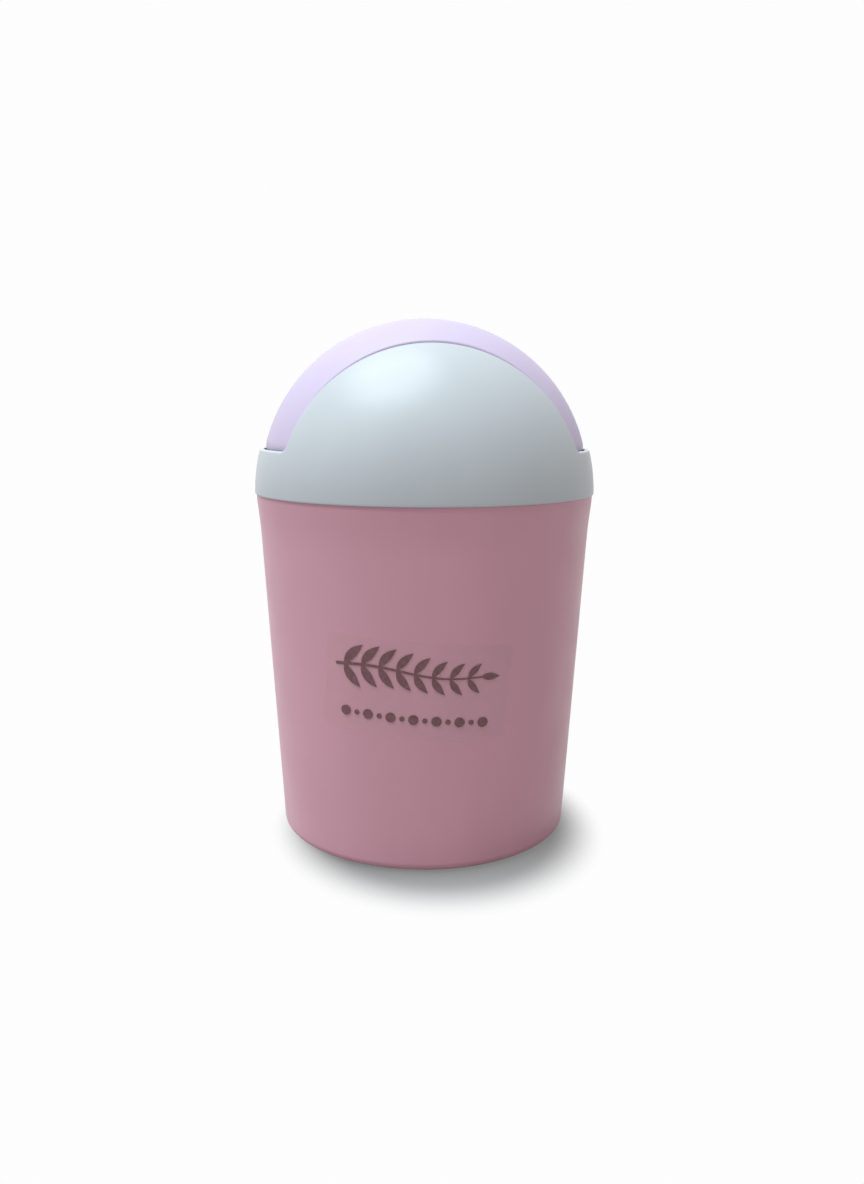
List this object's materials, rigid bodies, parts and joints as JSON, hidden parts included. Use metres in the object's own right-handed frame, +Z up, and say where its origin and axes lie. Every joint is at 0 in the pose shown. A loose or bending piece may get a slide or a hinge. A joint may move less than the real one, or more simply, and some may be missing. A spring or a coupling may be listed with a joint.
{
  "type": "countertop swing-lid bin",
  "caption": "Small round countertop bin: a tapered tub, a domed lid that plugs into its rim, and a flap that swings between the lid's two cheeks.",
  "frame": {"origin": "middle of the foot ring's underside, on the surface that the bin stands on", "axes": "+Z up along the tub's axis; -Y towards the front, where the label is; the flap's pivot axis runs along Y"},
  "size_m": [0.1204, 0.1204, 0.1822],
  "materials": {
    "tub_plastic": "satin moulded polypropylene, dusty pink",
    "lid_plastic": "satin moulded polypropylene, cool white",
    "flap_plastic": "satin moulded polypropylene, pale lilac pink",
    "pin_plastic": "plain moulded acetal",
    "label_film": "clear self-adhesive film with a plain printed sprig"
  },
  "bodies": {
    "tub": {"bin_body": "tub_plastic", "front_label": "label_film"},
    "lid": {"lid_housing": "lid_plastic"},
    "flap": {"swing_flap": "flap_plastic", "pivot_pin_front": "pin_plastic", "pivot_pin_back": "pin_plastic"}
  },
  "joints": [
    {"name": "lid_lift", "type": "slide", "parent": "tub", "child": "lid", "axis": [0, 0, 1], "range_m": [0, 0.08]},
    {"name": "flap_swing", "type": "hinge", "parent": "lid", "child": "flap", "pos_m": [0, 0, 0.163], "axis": [0, 1, 0], "range_deg": [-65, 65]}
  ]
}
